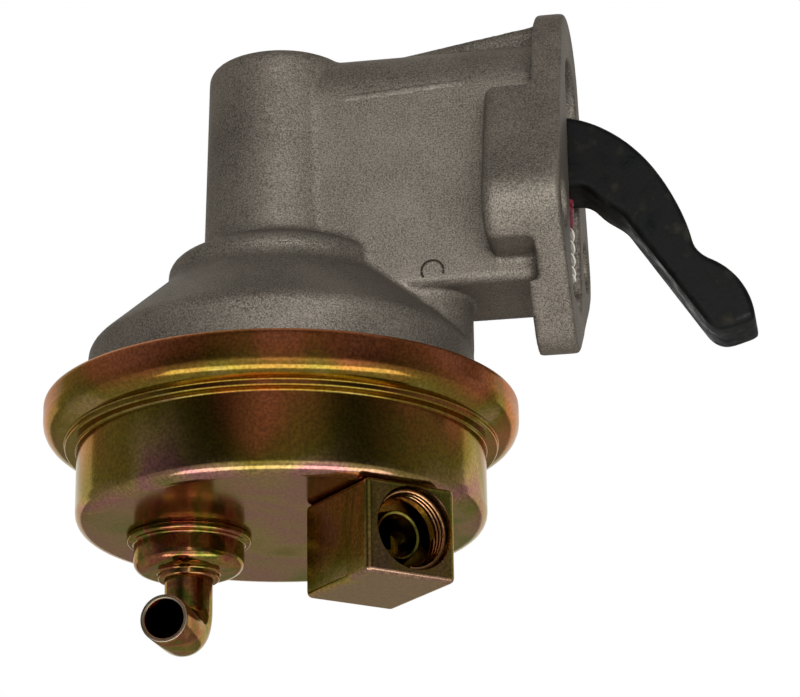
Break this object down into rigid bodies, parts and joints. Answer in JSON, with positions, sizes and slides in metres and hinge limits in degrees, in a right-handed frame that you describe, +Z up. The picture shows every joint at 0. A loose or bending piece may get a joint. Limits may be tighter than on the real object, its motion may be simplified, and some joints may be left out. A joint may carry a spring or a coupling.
{
  "type": "mechanical fuel pump",
  "caption": "Lever-driven diaphragm fuel pump: cast flanged body with tower, crimped steel fuel bowl, elbow inlet tube, threaded outlet block and rocker arm.",
  "frame": {"origin": "midway between the two bolt holes, on the mounting flange's face", "axes": "+X out of the flange's face, into the engine; +Z up, along the tower, away from the fuel bowl; +Y across, from one bolt hole to the other"},
  "size_m": [0.1431, 0.095, 0.1312],
  "materials": {
    "casting": "as die-cast, blasted to a fine grain",
    "zinc_plate": "yellow chromate over zinc plate, glossy, iridescent",
    "forging": "black oxide, semi-gloss",
    "steel": "plain, turned or stamped",
    "spring_steel": "drawn wire, the return spring's top coils painted red",
    "diaphragm_cloth": "rubber-coated cloth",
    "rubber": "matt",
    "brass": "plain"
  },
  "bodies": {
    "housing": {"upper_body": "casting", "fuel_bowl": "zinc_plate", "inlet_cup": "zinc_plate", "inlet_tube": "zinc_plate", "outlet_block": "zinc_plate", "pivot_pin": "steel", "pin_plug": "steel", "seal_retainer": "steel", "valve_body": "steel", "inlet_riser": "steel", "return_spring": "spring_steel", "diaphragm_spring": "spring_steel", "inlet_valve_spring": "spring_steel", "outlet_valve_spring": "spring_steel", "diaphragm": "diaphragm_cloth", "oil_seal": "rubber", "riser_gasket": "rubber", "inlet_valve_cage": "brass", "outlet_valve_cage": "brass", "inlet_valve_clip": "brass", "outlet_valve_clip": "brass"},
    "rocker": {"rocker_arm": "forging", "link_lever": "steel"},
    "rod": {"pull_rod": "steel", "spring_seat": "steel", "upper_protector": "steel", "lower_protector": "steel", "rod_washer": "steel"},
    "inlet_valve": {"inlet_valve_disc": "rubber"},
    "outlet_valve": {"outlet_valve_disc": "rubber"}
  },
  "joints": [
    {"name": "rocker_pivot", "type": "hinge", "parent": "housing", "child": "rocker", "pos_m": [-0.0294, 0, 0.0145], "axis": [0, 1, 0], "range_deg": [0, 8], "stiffness_Nm_per_rad": 6, "springref_deg": -5.73, "deforming": ["return_spring"]},
    {"name": "rod_slide", "type": "slide", "parent": "housing", "child": "rod", "axis": [0, 0, 1], "range_m": [0, 0.00434], "deforming": ["diaphragm_spring", "diaphragm"]},
    {"name": "inlet_valve_lift", "type": "slide", "parent": "housing", "child": "inlet_valve", "axis": [0, 0, 1], "range_m": [0, 0.0015], "stiffness_N_per_m": 40, "springref_m": -0.0005, "deforming": ["inlet_valve_spring"]},
    {"name": "outlet_valve_lift", "type": "slide", "parent": "housing", "child": "outlet_valve", "axis": [0, 0, -1], "range_m": [0, 0.0015], "stiffness_N_per_m": 40, "springref_m": -0.0005, "deforming": ["outlet_valve_spring"]}
  ],
  "couplings": [
    {"joint": "rod_slide", "follows": "rocker_pivot", "m_per_rad": 0.031}
  ]
}
